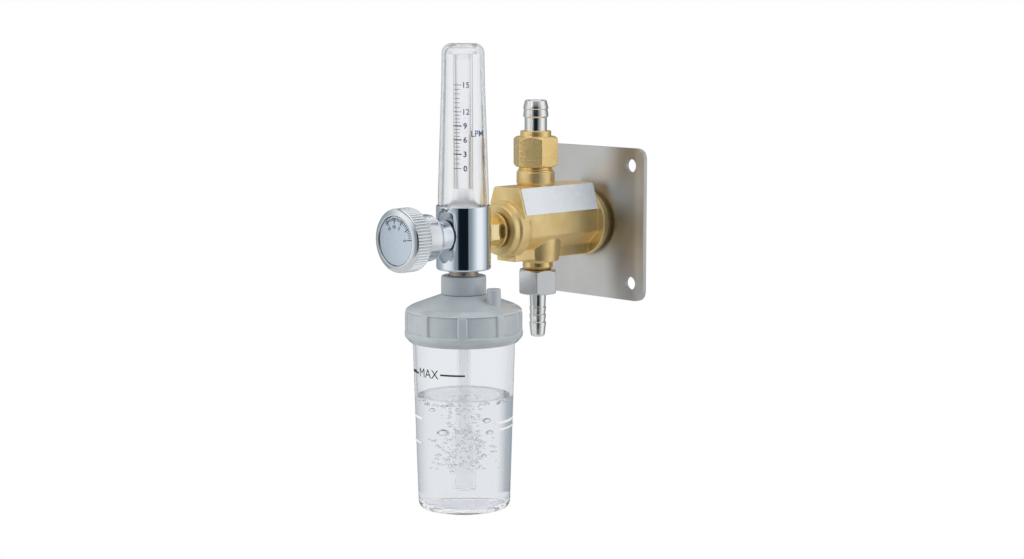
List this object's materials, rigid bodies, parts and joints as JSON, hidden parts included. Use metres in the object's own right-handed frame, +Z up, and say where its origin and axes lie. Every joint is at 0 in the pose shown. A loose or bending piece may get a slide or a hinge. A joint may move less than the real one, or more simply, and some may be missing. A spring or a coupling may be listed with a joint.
{
  "type": "oxygen flowmeter",
  "caption": "Wall-mounted oxygen flowmeter: cast brass valve body, needle valve with a knurled dial knob, clear flow tube and a humidifier bottle on a swivel nut.",
  "frame": {"origin": "centre of the wall plate's back face", "axes": "-Y out of the wall along the flowmeter's horizontal axis, +Z up along the flow tube, +X to the right of a person who faces the wall"},
  "size_m": [0.094, 0.1642, 0.2757],
  "materials": {
    "cast_brass": "sand-blasted, matt",
    "turned_brass": "turned, satin",
    "chrome": "bright plated",
    "stainless": "brushed",
    "dial_silver": "satin",
    "clear_plastic": "clear",
    "grey_plastic": "moulded, satin",
    "white_plastic": "moulded, frosted",
    "rubber": "matt"
  },
  "bodies": {
    "base": {"wall_plate": "stainless", "flange_screw_1": "stainless", "flange_screw_2": "stainless", "flange_screw_3": "stainless", "flange_screw_4": "stainless", "valve_body": "cast_brass", "inlet_nut": "cast_brass", "inlet_hose_tail": "stainless", "inlet_washer": "rubber", "outlet_nut": "chrome", "outlet_hose_tail": "stainless", "outlet_washer": "rubber", "hex_adaptor": "turned_brass", "adaptor_seal": "rubber", "flowmeter_body": "chrome", "valve_bonnet": "chrome", "bonnet_seal": "rubber", "tube_cover": "clear_plastic", "metering_tube": "clear_plastic", "tube_seal": "rubber", "tube_stop": "white_plastic", "outlet_stub": "turned_brass"},
    "needle_ring": {"spindle_oring": "rubber"},
    "knob": {"control_knob": "chrome", "valve_spindle": "stainless", "dial_disc": "dial_silver", "knob_screw": "stainless"},
    "float": {"float_ball": "stainless"},
    "humidifier": {"humidifier_cap": "grey_plastic", "nipple_seal": "rubber", "dip_tube": "clear_plastic", "diffuser": "white_plastic"},
    "nut": {"swivel_nut": "grey_plastic"},
    "gasket": {"bottle_gasket": "rubber"},
    "jar": {"bottle": "clear_plastic"}
  },
  "joints": [
    {"name": "needle_lift", "type": "slide", "parent": "base", "child": "needle_ring", "axis": [0, -1, 0], "range_m": [0, 0.002]},
    {"name": "knob_turn", "type": "hinge", "parent": "needle_ring", "child": "knob", "pos_m": [0, -0.1374, 0], "axis": [0, -1, 0], "range_deg": [0, 900]},
    {"name": "float_rise", "type": "slide", "parent": "base", "child": "float", "axis": [0, 0, 1], "range_m": [0, 0.077]},
    {"name": "humidifier_drop", "type": "slide", "parent": "base", "child": "humidifier", "axis": [0, 0, -1], "range_m": [0, 0.00423]},
    {"name": "swivel_turn", "type": "hinge", "parent": "humidifier", "child": "nut", "pos_m": [0, -0.1098, -0.03], "axis": [0, 0, -1], "range_deg": [0, 1080]},
    {"name": "bottle_drop", "type": "slide", "parent": "humidifier", "child": "gasket", "axis": [0, 0, -1], "range_m": [0, 0.0045]},
    {"name": "bottle_turn", "type": "hinge", "parent": "gasket", "child": "jar", "pos_m": [0, -0.1098, -0.06], "axis": [0, 0, -1], "range_deg": [0, 540]}
  ],
  "couplings": [
    {"joint": "knob_turn", "follows": "needle_lift", "rad_per_m": 7853.9},
    {"joint": "swivel_turn", "follows": "humidifier_drop", "rad_per_m": 4452.9},
    {"joint": "bottle_turn", "follows": "bottle_drop", "rad_per_m": 2094.4}
  ]
}
